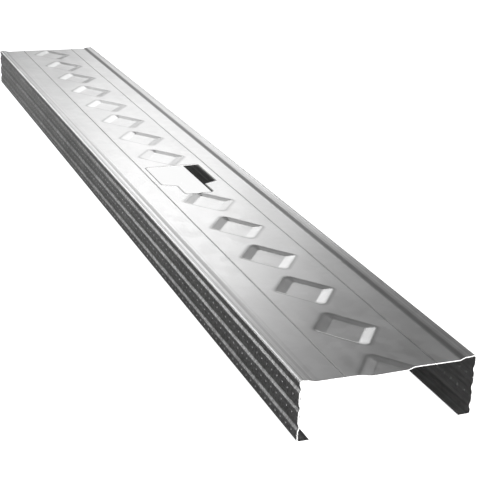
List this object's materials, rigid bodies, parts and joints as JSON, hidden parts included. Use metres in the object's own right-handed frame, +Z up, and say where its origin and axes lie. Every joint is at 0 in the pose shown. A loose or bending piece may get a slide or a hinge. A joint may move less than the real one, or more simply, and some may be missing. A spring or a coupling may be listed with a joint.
{
  "type": "steel stud",
  "caption": "Galvanised C-section framing stud, short length, with grooved flanges, inturned lips, slanted web dimples and a punched service hole.",
  "frame": {"origin": "on the floor under the middle of the web, halfway along the stud, which lies web up on its two lips", "axes": "+X along the stud towards the end that the saw cut through a dimple; +Y across the web; +Z up, out of the web's outer face"},
  "size_m": [0.732, 0.092, 0.0317],
  "materials": {
    "zinc_sheet": "galvanised, satin"
  },
  "bodies": {
    "root": {"stud": "zinc_sheet"}
  },
  "joints": []
}
